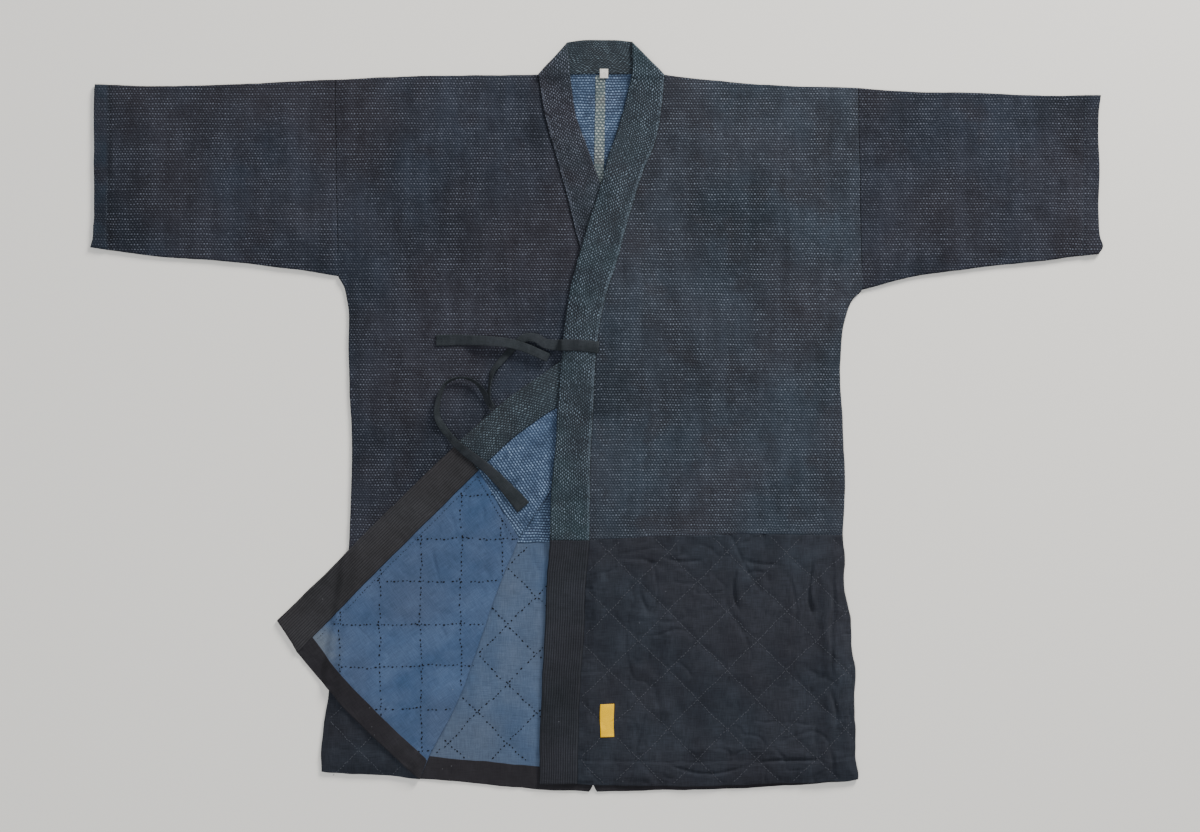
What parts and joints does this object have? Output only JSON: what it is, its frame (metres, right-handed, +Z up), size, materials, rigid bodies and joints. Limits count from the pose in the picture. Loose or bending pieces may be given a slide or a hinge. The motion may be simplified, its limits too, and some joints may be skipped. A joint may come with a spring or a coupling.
{
  "type": "kendo jacket",
  "caption": "Wrap-over practice jacket in rice-grain cloth with a quilted skirt, laid flat, its right front turned back.",
  "frame": {"origin": "middle of the jacket's bounding box in plan, on the surface that it lies on", "axes": "+X towards the wearer's left along the sleeves, +Y from the hem to the collar, +Z up from the surface"},
  "size_m": [1.312, 0.9757, 0.0188],
  "materials": {
    "sashiko": "dark indigo rice-grain cotton, matt, with pale stitch dots",
    "quilted": "near-black indigo plain cotton, diamond quilted, its inside mid blue",
    "lower_band": "dark green-grey plain cotton with close rows of machine stitching",
    "tape": "dark green-grey woven cotton tape",
    "tab": "plain white cotton tape"
  },
  "bodies": {
    "root": {"body_right": "sashiko", "body_left": "sashiko", "sleeve_right": "sashiko", "sleeve_left": "sashiko", "skirt_back_right": "quilted", "skirt_back_left": "quilted", "skirt_front_right": "quilted", "skirt_front_left": "quilted", "collar": "sashiko", "collar_lower_left": "lower_band", "collar_lower_right": "lower_band", "tie_right": "tape", "tie_left": "tape", "neck_tab": "tab"}
  },
  "joints": []
}
